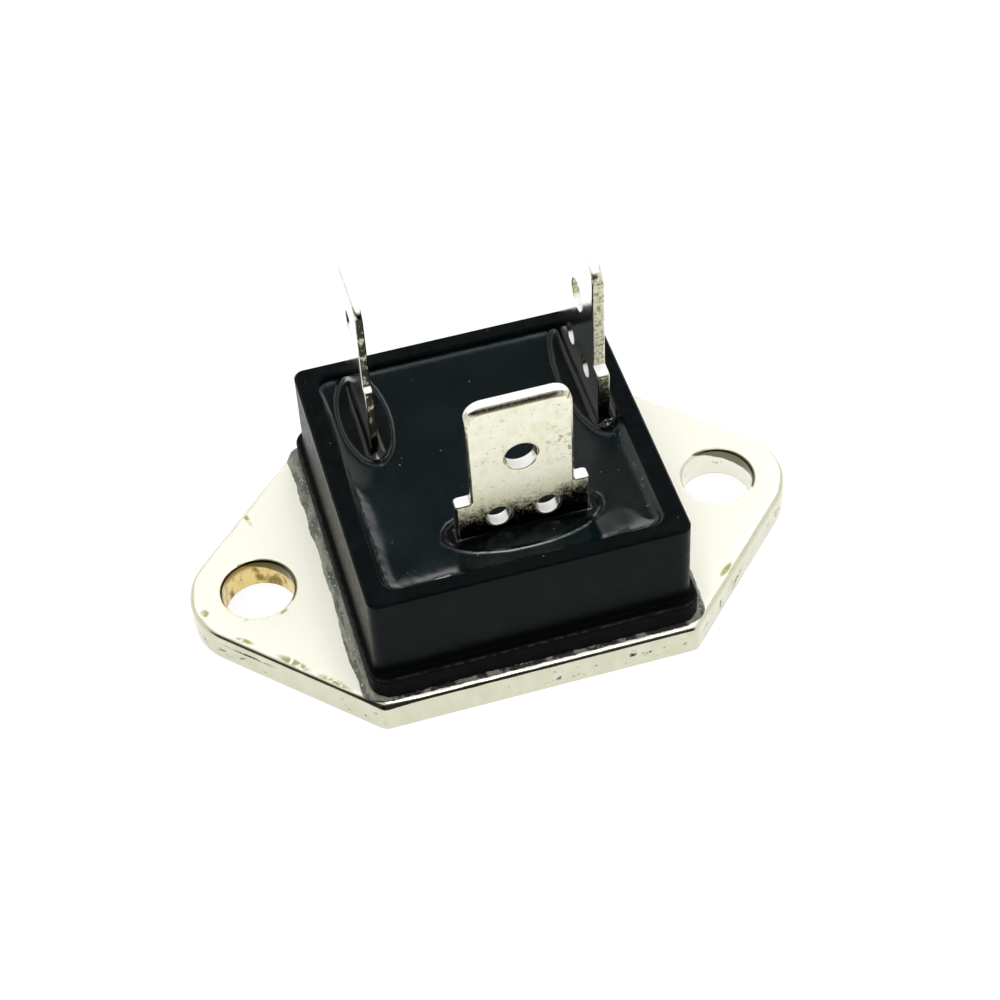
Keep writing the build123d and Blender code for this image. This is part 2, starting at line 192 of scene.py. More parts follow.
def lay_paper():
    """White paper, almost clipped to the eye, that still takes a soft shadow."""
    corners = [(-1, -1), (1, -1), (1, 1), (-1, 1)]
    floor = add_mesh(
        "floor", [(x * PAPER_HALF, y * PAPER_HALF, -0.02) for x, y in corners], [(0, 1, 2, 3)],
        smooth=False,
    )
    material = bpy.data.materials.new("white_paper")
    material.use_nodes = True
    paper = Wiring(material.node_tree)
    shader = paper.tree.nodes["Principled BSDF"]
    shader.inputs["Roughness"].default_value = 0.95
    shader.inputs["Specular IOR Level"].default_value = 0.1
    place = paper.node("TexCoord")["Object"]
    fibre = paper.node("TexNoise", {"Vector": place, "Scale": 900.0, "Detail": 4.0})["Fac"]
    tone = paper.ramp(fibre, 0.0, 1.0, 0.86, 0.9, smooth=False)
    paper.tree.links.new(tone, shader.inputs["Base Color"])
    glow = paper.node("Emission", {"Color": WHITE, "Strength": PAPER_GLOW})[0]
    ray = paper.node("LightPath")
    share = paper.times(paper.most(ray["Is Camera Ray"], ray["Is Glossy Ray"]), GLOW_SHARE)
    both = paper.node("MixShader", {0: share, 1: shader.outputs["BSDF"], 2: glow})[0]
    paper.tree.links.new(both, paper.tree.nodes["Material Output"].inputs["Surface"])
    floor.data.materials.append(material)


camera = add_object("camera", bpy.data.cameras.new("camera"))
camera.data.lens = LENS
camera.data.sensor_width = 36
camera.data.clip_start = 0.005
camera.data.clip_end = 10
camera.matrix_world = (
    Matrix.Translation(CAMERA_SPOT)
    @ turned_about("Z", CAMERA_TURN)
    @ turned_about("X", 90 - CAMERA_DOWN)
    @ turned_about("Z", CAMERA_ROLL)
)
bpy.context.scene.camera = camera
bpy.context.scene.view_settings.view_transform = "Standard"
light_room()
for name, place, watts in SOFTBOXES:
    hang_softbox(name, place, watts)
lay_paper()

# ---------------------------------------------------------------------------------------
# Base plate: 2.2 mm copper, blanked and pierced from above, then bright nickel plated.
# The punch drew its upper edges down; its cut sides are pitted where the metal tore.
# It has been handled: stains on top, and bare tarnished copper in the left hole.
# ---------------------------------------------------------------------------------------
TIP_RADIUS = 4.25
CORNER_RADIUS = 0.8
HOLE_RADIUS = 2.25
SCREW_X = 15.05
CORNER_SETBACK = 0.4
PLATE_ROLL = (0.36, 0.3)  # how far in and down the punch drew the upper edge
HOLE_ROLL = (0.22, 0.2)
FOOT_EDGE = 0.07  # height where the cut side turns under
KNOCKED_CORNER = Vector((-10, -11.2))
NICKEL = (0.95, 0.94, 0.82, 1)
NICKEL_CUT_SIDE = (0.619, 0.611, 0.46, 1)
NICKEL_PALE = (0.679, 0.671, 0.533, 1)
MOUTH_DARK_REFLECTION = (0.085, 0.08, 0.03, 1)
COPPER_STAIN = (0.78, 0.62, 0.25, 1)
BROWN_TARNISH = (0.26, 0.18, 0.05, 1)
OLIVE_STAIN = (0.30, 0.29, 0.035, 1)
PIT_DARK = (0.035, 0.033, 0.02, 1)
STAINS = (  # (x, y), (half length, half width), turn, in millimetres and degrees
    ((-14.2, -6.3), (1.5, 0.4), -48),
    ((-12.2, -8.6), (1.7, 0.45), -50),
    ((-16.7, -3.7), (0.8, 0.22), -40),
    ((-18.6, -0.9), (0.35, 0.4), 0),
    ((-16.4, -2.1), (0.4, 0.2), -20),
    ((-14.6, 6.1), (1.2, 0.2), -75),
    ((-13.9, -2.2), (0.4, 0.15), 30),
    ((13.0, -7.4), (0.9, 0.25), 40),
)
GOUGE_PLACE = ((-16.4, -4.1), (2.3, 1.4), -48)
GOUGE_HEIGHT = 1.52


class Finish(Wiring):
    """A material under way: its shader, and the piece's own coordinates in metres."""

    def __init__(self, name, **constants):
        self.material = bpy.data.materials.new(name)
        self.material.use_nodes = True
        super().__init__(self.material.node_tree)
        self.shader = self.tree.nodes["Principled BSDF"]
        for socket, value in constants.items():
            self.shader.inputs[socket.replace("_", " ")].default_value = value
        self.place = self.node("TexCoord")["Object"]

    def spot(self):
        """X, Y and Z of the place."""
        return self.node("SeparateXYZ", {0: self.place})

    def facing(self):
        """X, Y and Z of the way the surface faces."""
        return self.node("SeparateXYZ", {0: self.node("NewGeometry")["Normal"]})

    def speckle(self, scale, detail=4.0, stretch=(1, 1, 1), roughness=0.5, distortion=0.0):
        """Noise from 0 to 1 over the piece; scale is in cycles per metre."""
        spread = self.node("Mapping", {"Vector": self.place, "Scale": stretch})["Vector"]
        return self.node("TexNoise", {
            "Vector": spread, "Scale": scale, "Detail": detail, "Roughness": roughness,
            "Distortion": distortion,
        })["Fac"]

    def blend(self, share, first, second):
        """From the first colour to the second by the share."""
        return self.node("Mix", {0: share, 6: first, 7: second}, data_type="RGBA")[2]

    def feed(self, socket, output):
        self.tree.links.new(output, self.shader.inputs[socket])

    def grain(self, height, depth, strength=1.0):
        """Bump of that depth in metres."""
        bump = self.node("Bump", {"Strength": strength, "Distance": depth, "Height": height})
        self.feed("Normal", bump["Normal"])


def stain_mask(coat, centre, half, turned):
    """1 in the middle of an oval patch on the plate, 0 at its edge."""
    moved = coat.vector("SUBTRACT", coat.place, Vector((*centre, 0)) * MM)
    straight = coat.node(
        "VectorRotate", {"Vector": moved, "Angle": -math.radians(turned)}, rotation_type="Z_AXIS"
    )["Vector"]
    shrunk = coat.vector("MULTIPLY", straight, (1 / (half[0] * MM), 1 / (half[1] * MM), 0))
    return coat.ramp(coat.vector("LENGTH", shrunk), 1.0, 0.35)


def round_hole(coat, hole_x):
    """Distance from a screw hole's axis, and how far to the back right of it."""
    from_axis = coat.vector("SUBTRACT", coat.place, (hole_x * MM, 0, 0))
    flat = coat.vector("MULTIPLY", from_axis, (1, 1, 0))
    return coat.vector("LENGTH", flat), coat.vector("DOT_PRODUCT", flat, (0.8, 0.6, 0))


def nickel_plate_material():
    coat = Finish("nickel_plate")
    spot = coat.spot()
    height = spot["Z"]
    on_top = coat.ramp(coat.facing()["Z"], 0.93, 0.995)
    off_top = coat.beyond(on_top)
    # the cut side: satin, with dark in its pits and scattered specks
    pits = coat.speckle(1500.0, detail=8.0, stretch=(1, 1, 1.6), roughness=0.62)
    patchy = coat.speckle(190.0, detail=2.0)
    above = coat.ramp(height, 1.25 * MM, 1.8 * MM)
    below = coat.ramp(height, 0.9 * MM, 0.2 * MM)
    torn_band = coat.beyond(coat.plus(above, below))
    ragged = coat.ramp(coat.plus(pits, coat.times(patchy, 0.35)), 0.79, 0.86)
    pitted = coat.times(ragged, torn_band, off_top)
    streaky = coat.speckle(900.0, detail=5.0, stretch=(1, 1, 0.4))
    side = coat.blend(coat.ramp(streaky, 0.3, 0.75), NICKEL_CUT_SIDE, NICKEL_PALE)
    colour = coat.blend(on_top, side, NICKEL)
    colour = coat.blend(coat.times(pitted, 0.92), colour, PIT_DARK)
    # handling stains
    stained = coat.most(*[stain_mask(coat, *stain) for stain in STAINS])
    blotch = coat.ramp(coat.speckle(1700.0, detail=5.0, distortion=0.6), 0.38, 0.5)
    colour = coat.blend(coat.times(stained, blotch, on_top, 0.9), colour, OLIVE_STAIN)
    # one long gouge on the cut side, left of the front corner
    off_line = coat.node("Math", {0: coat.less(height, GOUGE_HEIGHT * MM)}, operation="ABSOLUTE")
    gouge = coat.times(
        coat.ramp(off_line["Value"], 0.16 * MM, 0.05 * MM), stain_mask(coat, *GOUGE_PLACE),
        coat.ramp(pits, 0.4, 0.5), off_top,
    )
    colour = coat.blend(gouge, colour, PIT_DARK)
    # the holes: the right one bright, the left one rubbed through to stained copper
    radius, _ = round_hole(coat, SCREW_X)
    colour = coat.blend(coat.ramp(radius, 2.4 * MM, 2.3 * MM, 0, 0.7), colour, NICKEL)
    tarnish = coat.ramp(coat.speckle(1300.0, detail=6.0, stretch=(1, 1, 0.5)), 0.46, 0.64)
    far_side = coat.ramp(spot["Y"], 0.4 * MM, 1.6 * MM)
    upper = coat.times(coat.ramp(height, 1.4 * MM, 1.9 * MM), far_side)
    bare = coat.blend(coat.most(tarnish, upper), COPPER_STAIN, BROWN_TARNISH)
    radius, _ = round_hole(coat, -SCREW_X)
    colour = coat.blend(coat.ramp(radius, 2.4 * MM, 2.3 * MM), colour, bare)
    # painted dark reflection: a dark crescent at the right of each hole's mouth, where the drawn
    # edge mirrors the dark room
    for hole_x in (-SCREW_X, SCREW_X):
        radius, to_right = round_hole(coat, hole_x)
        crescent = coat.plus(height, coat.times(to_right, 0.5), coat.times(pits, 0.2 * MM))
        painted_reflection = coat.times(
            coat.ramp(radius, 2.5 * MM, 2.38 * MM), coat.ramp(crescent, 2.52 * MM, 2.62 * MM),
            coat.ramp(to_right, 0.1 * MM, 0.6 * MM), 0.9,
        )
        colour = coat.blend(painted_reflection, colour, MOUTH_DARK_REFLECTION)
    coat.feed("Base Color", colour)
    coat.feed("Metallic", coat.ramp(on_top, 0.0, 1.0, 1.0, 0.25, smooth=False))
    polish = coat.ramp(coat.speckle(220.0, detail=3.0), 0.3, 0.7, 0.14, 0.2)
    coat.feed("Roughness", coat.plus(polish, coat.times(on_top, 0.38), coat.times(pitted, 0.4)))
    fine = coat.speckle(2600.0, detail=6.0)
    coat.grain(coat.plus(coat.times(fine, 0.25), coat.times(pitted, -1.0)), 0.03 * MM)
    return coat.material


def dress(name, material):
    """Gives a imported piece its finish; its shape stays as it is."""
    mesh = nodes[name].data
    mesh.materials.clear()
    mesh.materials.append(material)


def fit(piece, node, material):
    """Finishes a new piece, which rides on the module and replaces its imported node."""
    piece.data.materials.append(material)
    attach(piece, "root")
    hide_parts(node)


def rounded(corners, step=9):
    """An outline from (x, z, radius) corners, anticlockwise, with an arc at each radius."""
    points = []
    for i, (x, z, radius) in enumerate(corners):
        here = Vector((x, z))
        if not radius:
            points.append(here)
            continue
        back = (Vector(corners[i - 1][:2]) - here).normalized()
        ahead = (Vector(corners[(i + 1) % len(corners)][:2]) - here).normalized()
        half = back.angle(ahead) / 2
        centre = here + (back + ahead).normalized() * (radius / math.sin(half))
        spoke = here + back * (radius / math.tan(half)) - centre
        sweep = math.pi - 2 * half
        side = 1 if back.cross(ahead) < 0 else -1
        steps = max(3, round(math.degrees(sweep) / step))
        for k in range(steps + 1):
            points.append(centre + Matrix.Rotation(side * sweep * k / steps, 2) @ spoke)
    return points


def even(points, pitch):
    """The same outline with no edge longer than the pitch."""
    result = []
    for i, point in enumerate(points):
        after = points[(i + 1) % len(points)]
        pieces = max(1, math.ceil((after - point).length / pitch))
        result += [point.lerp(after, k / pieces) for k in range(pieces)]
    return result


def hole_ring(x, y, radius, count):
    """A round hole's outline, clockwise."""
    turns = [-2 * math.pi * k / count for k in range(count)]
    return [Vector((x + radius * math.cos(a), y + radius * math.sin(a))) for a in turns]


def inwards(points):
    """For each point of an anticlockwise outline, the way into the metal."""
    ways = []
    for i, point in enumerate(points):
        before = (point - points[i - 1]).normalized()
        after = (points[(i + 1) % len(points)] - point).normalized()
        first, second = Vector((-before.y, before.x)), Vector((-after.y, after.x))
        way = (first + second).normalized()
        ways.append(way / max(0.5, way.dot(first)))
    return ways


def fill(loops, extra=()):
    """Triangles between an outer loop and the round holes in it, over the loops' points in
    order and then the extra ones."""
    points, edges, owner = [], [], []
    for number, loop in enumerate(loops):
        first = len(points)
        owner += [number] * len(loop)
        points += loop
        edges += [(first + i, first + (i + 1) % len(loop)) for i in range(len(loop))]
    points += extra
    owner += [0] * len(extra)
    _, _, triangles, origins, _, _ = delaunay_2d_cdt(points, edges, [], 1, 1e-7)
    kept = []
    for triangle in triangles:
        corners = [origins[i][0] for i in triangle]
        owners = {owner[i] for i in corners}
        if len(owners) > 1 or 0 in owners:
            kept.append(corners)
    return kept


def band(first, second, count):
    """The faces between two closed rings of as many points."""
    pairs = [(i, (i + 1) % count) for i in range(count)]
    return [(first + i, second + i, second + j, first + j) for i, j in pairs]


def edge_rings(loop, profile, verts, stand=lambda x, height, y: (x, y, height)):
    """Adds rings of points down a cut edge; profile(point) gives its (inset, height) pairs.
    Returns the faces between them, and the first and last ring's flat points and indices."""
    levels = [profile(point) for point in loop]
    ways = inwards(loop)
    count = len(loop)
    faces, flat, rings = [], [], []
    for level in range(len(levels[0])):
        rings.append(range(len(verts), len(verts) + count))
        flat.append([p + w * sizes[level][0] for p, w, sizes in zip(loop, ways, levels)])
        verts += [stand(p.x, sizes[level][1], p.y) for p, sizes in zip(flat[-1], levels)]
    for above, below in zip(rings, rings[1:]):
        faces += band(above[0], below[0], count)
    return faces, (flat[0], flat[-1]), (rings[0], rings[-1])


def torn(point, height):
    """How far the cut side is pitted inwards, in millimetres."""
    place = Vector((point.x, point.y, height * 1.5))
    patchy = noise.noise(place * 0.55 + Vector((4, 0, 0)))
    fine = noise.turbulence(place * 3.1, 3, False)
    middle = math.exp(-((height - 1.15) / 0.38) ** 2)
    return 0.16 * max(fine + 0.55 * patchy - 0.42, 0) * middle


def drawn_edge(roll, steps):
    """(inset, height) pairs down the round edge that the punch drew into the plate."""
    width, drop = roll
    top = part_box("base_plate")[1].z / MM
    leans = [math.pi / 2 * k / steps for k in range(steps + 1)]
    return [(width * (1 - math.sin(a)), top - drop * (1 - math.cos(a))) for a in leans]


def down_side(side, steps):
    """Heights from under the drawn edge to the plate's foot."""
    return [side + (FOOT_EDGE - side) * k / steps for k in range(1, steps + 1)]


def plate_edge(point):
    """The plate's cut edge from top to bottom; one corner has been knocked rounder."""
    wander = 1 + 0.22 * noise.noise(Vector((point.x * 0.8, point.y * 0.8, 2.0)))
    wander += 0.9 * math.exp(-((point - KNOCKED_CORNER).length / 1.4) ** 2)
    rings = drawn_edge([size * wander for size in PLATE_ROLL], 8)
    rings += [(torn(point, height), height) for height in down_side(rings[-1][1], 11)]
    return rings + [(0.05, 0)]


def hole_edge(point):
    """A screw hole's edge from top to bottom."""
    wander = 1 + 0.3 * noise.noise(Vector((point.x, point.y, 6.0)))
    rings = drawn_edge([size * wander for size in HOLE_ROLL], 5)
    for height in down_side(rings[-1][1], 8):
        scored = 0.02 * noise.noise(Vector((point.x * 3, point.y * 3, height * 0.7)))
        rings.append((abs(scored), height))
    return rings + [(0.0, 0)]


def punch_plate():
    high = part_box("base_plate")[1] / MM
    hole_x = high.x - TIP_RADIUS
    corner_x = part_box("case")[1].x / MM - CORNER_SETBACK
    reach = math.hypot(hole_x - corner_x, high.y)
    flank = math.atan2(high.y, hole_x - corner_x) - math.asin(TIP_RADIUS / reach)
    point_x = hole_x + TIP_RADIUS / math.sin(flank)
    outline = rounded([
        (point_x, 0, TIP_RADIUS),
        (corner_x, high.y, CORNER_RADIUS),
        (-corner_x, high.y, CORNER_RADIUS),
        (-point_x, 0, TIP_RADIUS),
        (-corner_x, -high.y, CORNER_RADIUS),
        (corner_x, -high.y, CORNER_RADIUS),
    ], step=3)
    loops = [(even(outline, 0.13), plate_edge)]
    loops += [(hole_ring(side * hole_x, 0, HOLE_RADIUS, 90), hole_edge) for side in (-1, 1)]
    verts, faces, tops, bottoms, top_index, bottom_index = [], [], [], [], [], []
    for loop, profile in loops:
        edge, flat, rings = edge_rings(loop, profile, verts)
        faces += edge
        tops.append(flat[0])
        bottoms.append(flat[1])
        top_index += rings[0]
        bottom_index += rings[1]
    faces += [tuple(top_index[i] for i in t) for t in fill(tops)]
    faces += [tuple(bottom_index[i] for i in t[::-1]) for t in fill(bottoms)]
    plate = add_mesh("punched_plate", verts, faces)
    plate.modifiers.new("flat_faces", "WEIGHTED_NORMAL").keep_sharp = True
    fit(plate, "base_plate", nickel_plate_material())


punch_plate()

# ---------------------------------------------------------------------------------------
# Insulated substrate: alumina tile with copper foil on both sides, soldered to the plate.
# Solder also holds the feet of the front and gate terminals on the foil's two lands.
# ---------------------------------------------------------------------------------------
COPPER_TONES = ((0.82, 0.42, 0.24, 1), (0.60, 0.27, 0.14, 1))
ALUMINA_TONES = ((0.86, 0.86, 0.83, 1), (0.72, 0.73, 0.71, 1))
SOLDER_TONES = ((0.62, 0.62, 0.62, 1), (0.45, 0.45, 0.46, 1))


def mottled(name, tones, scale, depth, detail=4.0, low=0.35, rough=None, stretch=(1, 1, 1),
            grain_scale=None, **constants):
    """A finish of two close tones and a fine grain of that depth in millimetres."""
    coat = Finish(name, **constants)
    mottle = coat.speckle(scale, detail=detail, stretch=stretch)
    coat.feed("Base Color", coat.blend(coat.ramp(mottle, low, 0.7), *tones))
    if rough:
        coat.feed("Roughness", coat.ramp(mottle, 0.3, 0.7, *rough))
    if depth:
        coat.grain(coat.speckle(grain_scale) if grain_scale else mottle, depth * MM)
    return coat.material


copper_foil = mottled(
    "copper_foil", COPPER_TONES, 900.0, 0.01, grain_scale=5000.0, Metallic=1.0, Roughness=0.35
)
alumina = mottled("alumina", ALUMINA_TONES, 4000.0, 0.01, detail=6.0, Roughness=0.55)
soft_solder = mottled(
    "soft_solder", SOLDER_TONES, 1800.0, 0.02, detail=6.0, low=0.3, rough=(0.28, 0.5), Metallic=1.0
)
dress("insulator_ceramic", alumina)
for name in ("insulator_copper", "main_2_land", "gate_land"):
    dress(name, copper_foil)
for name in ("insulator_solder", "main_2_solder", "gate_foot_solder"):
    dress(name, soft_solder)

# ---------------------------------------------------------------------------------------
# Chip: silicon with glass in its edge groove, soldered between the two main feet, and
# the tinned wire that joins its gate pad to the gate terminal's foot.
# ---------------------------------------------------------------------------------------
SILICON_TONES = ((0.10, 0.11, 0.13, 1), (0.16, 0.17, 0.20, 1))
TINNED_TONES = ((0.78, 0.77, 0.74, 1), (0.62, 0.61, 0.58, 1))

silicon = mottled("silicon", SILICON_TONES, 1200.0, 0.005, Roughness=0.18)
tinned_wire = mottled(
    "tinned_wire", TINNED_TONES, 2500.0, 0.008, rough=(0.22, 0.35), stretch=(0.2, 1, 1), Metallic=1.0
)
dress("triac_chip", silicon)
dress("gate_wire", tinned_wire)
for name in ("chip_lower_solder", "chip_upper_solder", "gate_wire_joints"):
    dress(name, soft_solder)

# ---------------------------------------------------------------------------------------
# Terminals: brass strip, nickel plated, stamped flat and then bent to a foot.
# The two main ones are alike, 0.8 mm thick with a 6.3 mm blade; the gate one is 0.5 mm
# with a 4.8 mm blade. The die rounds the outer edges and holes, and coins the tip.
# ---------------------------------------------------------------------------------------
INSIDE_BEND = 0.5
SHEET = 0.8
SHOULDER_HEIGHT = 8.8
SHOULDER_HALF = 4.1
BLADE_HALF = 3.15
BLADE_LENGTH = 7.7
MAIN_HOLES = ((0, 11.9, 2.0), (-1.5, 7.2, 1.45), (1.5, 7.2, 1.45))  # x, z, diameter
GATE_SHEET = 0.5
GATE_NECK_HALF = 2.0
GATE_NECK_TOP = 1.8
GATE_SHOULDER_HEIGHT = 11.2
GATE_SHOULDER_HALF = 2.9
GATE_BLADE_HALF = 2.4
GATE_BLADE_LENGTH = 6.2
GATE_HOLES = ((0, 14.3, 1.5),)
HOLE_BREAK = (0.09, 0.08, 0.03)  # length, depth and inner depth of the rounded edge
EDGE_TURN = 0.035
FLAT_RIM = 0.12
CUT_LEVELS = (3, 7)  # the levels of an edge profile that show sheared metal
TAB_NICKEL = (0.88, 0.865, 0.72, 1)
TAB_DULL = (0.78, 0.775, 0.56, 1)
TAB_HIGHLIGHT_WHITE = (0.99, 0.985, 0.96, 1)
TAB_GRIME_AND_DARK_REFLECTION = (0.20, 0.19, 0.09, 1)
TAB_FLUX = (0.64, 0.62, 0.38, 1)
TAB_SHEARED = (0.70, 0.69, 0.52, 1)
TAB_BLACK_AND_RESIN_REFLECTION = (0.03, 0.03, 0.02, 1)
uprights = {}  # middle and half size, in plan, of each terminal's upright, in millimetres


def clamped(value):
    """The value held between 0 and 1."""
    return min(max(value, 0), 1)


def edge_profile(sheet, length, depth, inner):
    """(inset, depth) from the outer face, over the cut edge, to the inner face."""
    return [
        (length + EDGE_TURN + FLAT_RIM, 0),
        (length + EDGE_TURN, 0),
        (length * 0.85, depth * 0.1),
        (length * 0.12, depth * 0.82),
        (0, depth + EDGE_TURN),
        (0, sheet - inner - EDGE_TURN),
        (inner * 0.2, sheet - inner * 0.5),
        (inner + 0.02, sheet),
        (inner + 0.02 + FLAT_RIM, sheet),
    ]


def coined(start, run, plain, tip):
    """The edge's (length, depth, inner depth) at a point: plain, and coined at the tip."""
    def size(point):
        share = clamped((point.y - start) / run)
        return [a + (b - a) * share for a, b in zip(plain, tip)]
    return size


def blank_end(sheet, reach):
    """Height in the flat of the end of a foot that reaches that far when it's bent."""
    return 2 * (INSIDE_BEND + sheet) - (INSIDE_BEND + sheet / 2) * math.pi / 2 - reach


def both_halves(right):
    """A blank's outline from its right half, given upwards."""
    left = [(-x, z, radius) for x, z, radius in right]
    return rounded(left[:1] + right + left[:0:-1])


def main_blank(reach):
    """Flat blank of a main terminal."""
    return both_halves([
        (SHOULDER_HALF, blank_end(SHEET, reach), 0.35),
        (SHOULDER_HALF, SHOULDER_HEIGHT, 0.35),
        (BLADE_HALF, SHOULDER_HEIGHT, 0.12),
        (BLADE_HALF, SHOULDER_HEIGHT + BLADE_LENGTH, 1.1),
    ])


def gate_blank(reach):
    """Flat blank of the gate terminal, with a narrow neck above its foot."""
    return both_halves([
        (GATE_NECK_HALF, blank_end(GATE_SHEET, reach), 0.3),
        (GATE_NECK_HALF, GATE_NECK_TOP, 0),
        (GATE_SHOULDER_HALF, GATE_NECK_TOP, 0.3),
        (GATE_SHOULDER_HALF, GATE_SHOULDER_HEIGHT, 0.35),
        (GATE_BLADE_HALF, GATE_SHOULDER_HEIGHT, 0.1),
        (GATE_BLADE_HALF, GATE_SHOULDER_HEIGHT + GATE_BLADE_LENGTH, 1.0),
    ])


def stamping(name, outline, holes, sheet, edges):
    """A terminal stamped from its flat blank and holes, and bent towards +y below its
    upright; edges(point) gives the size of the rounding at each edge."""
    heel = INSIDE_BEND + sheet
    arc = (INSIDE_BEND + sheet / 2) * math.pi / 2

    def bent(x, depth, z):
        if z >= heel:
            return (x, depth, z)
        angle = min((heel - z) / arc, 1) * math.pi / 2
        flat = max(heel - arc - z, 0)
        radius = heel - depth
        return (x, heel - radius * math.cos(angle) + flat, heel - radius * math.sin(angle))

    loops = [(even(outline, 0.3), lambda point: edge_profile(sheet, *edges(point)))]
    for x, z, diameter in holes:
        ring = hole_ring(x, z, diameter / 2, 40)
        loops.append((ring, lambda point: edge_profile(sheet, *HOLE_BREAK)))
    verts, faces, sheared = [], [], set()
    outer_loops, inner_loops, outer_index, inner_index = [], [], [], []
    for loop, profile in loops:
        edge, flat, rings = edge_rings(loop, profile, verts, bent)
        faces += edge
        first, count = rings[0][0], len(loop)
        sheared.update(range(first + CUT_LEVELS[0] * count, first + CUT_LEVELS[1] * count))
        outer_loops.append(flat[0])
        inner_loops.append(flat[1])
        outer_index += rings[0]
        inner_index += rings[1]

    half = (max(p.x for p in outline) - 0.35) * 0.9
    low = min(p.y for p in outline)
    rows = range(1, int((heel - low) / 0.3) + 2)
    over_bend = [Vector((x / 4 * half, low + 0.3 * k)) for k in rows for x in range(-4, 5)]
    for flat_loops, index, depth, way in (
        (outer_loops, outer_index, 0, 1),
        (inner_loops, inner_index, sheet, -1),
    ):
        extra = [p for p in over_bend if min((p - q).length for q in flat_loops[0]) > 0.1]
        index += range(len(verts), len(verts) + len(extra))
        verts += [bent(p.x, depth, p.y) for p in extra]
        faces += [tuple(index[i] for i in t)[::way] for t in fill(flat_loops, extra)]
    piece = add_mesh(name, verts, faces)
    cut = piece.data.attributes.new("cut_edge", "FLOAT", "POINT")
    cut.data.foreach_set("value", [float(i in sheared) for i in range(len(verts))])
    piece.modifiers.new("flat_faces", "WEIGHTED_NORMAL").keep_sharp = True
    return piece


def tab_material():
    coat = Finish("tab_nickel")
    rolled = coat.speckle(5200.0, detail=5.0, stretch=(1, 1, 0.08))
    mottle = coat.speckle(1500.0, detail=6.0, roughness=0.6)
    cloud = coat.speckle(380.0, detail=3.0)
    facing = coat.facing()
    spot = coat.spot()
    height = spot["Z"]
    upward = coat.ramp(facing["Z"], 0.5, 0.75)
    frontal = coat.ramp(facing["Y"], -0.93, -0.985)
    aside = coat.node("Math", {0: facing["X"]}, operation="ABSOLUTE")["Value"]
    sideways = coat.ramp(aside, 0.8, 0.97)
    dull = coat.ramp(coat.plus(mottle, coat.times(cloud, 0.5)), 0.62, 0.98)
    colour = coat.blend(dull, TAB_NICKEL, TAB_DULL)
    # painted highlight: faces turned to the sides are lightened to near white
    colour = coat.blend(coat.times(sideways, 0.95), colour, TAB_HIGHLIGHT_WHITE)
    lines = coat.ramp(rolled, 0.57, 0.72, 0.0, 0.3)
    colour = coat.blend(coat.times(lines, frontal), colour, TAB_DULL)
    specks = coat.ramp(coat.speckle(3400.0, detail=8.0, roughness=0.66), 0.59, 0.68)
    clean = coat.ramp(sideways, 0, 1, 0.6, 0.1, smooth=False)
    colour = coat.blend(coat.times(specks, clean), colour, TAB_GRIME_AND_DARK_REFLECTION)
    # painted dark reflection on the coined bevel at the front one's tip
    bevel = coat.times(
        coat.ramp(facing["Z"], 0.25, 0.38), coat.ramp(facing["Z"], 0.8, 0.6),
        coat.ramp(facing["Y"], -0.5, -0.7, 0.0, 0.92),
    )
    colour = coat.blend(bevel, colour, TAB_GRIME_AND_DARK_REFLECTION)
    # a cluster of short scratches by the right edge
    scratches = coat.times(
        coat.ramp(coat.speckle(2300.0, detail=4.0, stretch=(1.2, 1, 2.6)), 0.56, 0.62),
        coat.ramp(spot["X"], 2.4 * MM, 3.1 * MM), frontal, 0.75,
        coat.ramp(height, 13.9 * MM, 14.9 * MM), coat.ramp(height, 17.2 * MM, 16.2 * MM),
    )
    colour = coat.blend(scratches, colour, TAB_GRIME_AND_DARK_REFLECTION)
    # flux stain from the resin up to the shoulders, and on the front faces a painted dark reflection
    # of the black resin, both thicker downwards
    grit = coat.speckle(6500.0, detail=3.0)
    level = coat.plus(height, coat.times(mottle, 1.8 * MM), coat.times(grit, 2.6 * MM))
    level = coat.less(level, coat.ramp(spot["X"], 1.2 * MM, 4.6 * MM, 0, 0.6 * MM))
    flux = coat.times(coat.ramp(level, 15.9 * MM, 14.4 * MM, 0, 0.5), frontal)
    colour = coat.blend(flux, colour, TAB_FLUX)
    painted_reflection = coat.times(coat.ramp(level, 14.5 * MM, 12.4 * MM), frontal)
    colour = coat.blend(painted_reflection, colour, TAB_BLACK_AND_RESIN_REFLECTION)
    # the sheared edges, half burnished and half torn
    ragged = coat.ramp(coat.speckle(3600.0, detail=7.0, roughness=0.66), 0.46, 0.62)
    sheared = coat.blend(ragged, TAB_SHEARED, TAB_GRIME_AND_DARK_REFLECTION)
    on_gate = coat.ramp(spot["X"], -4.0 * MM, -4.3 * MM)
    dark = coat.ramp(coat.speckle(2700.0, detail=6.0), 0.36, 0.5)
    sheared = coat.blend(coat.times(on_gate, dark), sheared, TAB_BLACK_AND_RESIN_REFLECTION)
    below_shoulder = coat.ramp(level, 15.2 * MM, 13.9 * MM)
    darker = coat.times(below_shoulder, coat.ramp(dark, 0, 1, 0.75, 1))
    sheared = coat.blend(darker, sheared, TAB_BLACK_AND_RESIN_REFLECTION)
    cut = coat.node("Attribute", attribute_name="cut_edge")["Fac"]
    colour = coat.blend(coat.times(cut, coat.ramp(facing["Y"], 0.3, -0.3)), colour, sheared)
    # painted highlight: faces turned upwards, the tops of tips and shoulders, are near white
    colour = coat.blend(upward, colour, TAB_HIGHLIGHT_WHITE)
    coat.feed("Base Color", colour)
    matt = coat.most(upward, coat.times(frontal, coat.beyond(painted_reflection)))
    coat.feed("Metallic", coat.ramp(matt, 0.0, 1.0, 1.0, 0.2, smooth=False))
    rough = coat.plus(coat.ramp(rolled, 0.3, 0.7, 0.16, 0.24), coat.times(dull, 0.08))
    rough = coat.times(rough, coat.ramp(sideways, 0, 1, 1.0, 0.65, smooth=False))
    coat.feed("Roughness", coat.plus(rough, coat.times(matt, 0.28)))
    coat.grain(coat.plus(coat.times(rolled, 0.5), coat.times(mottle, 0.5)), 0.012 * MM)
    return coat.material


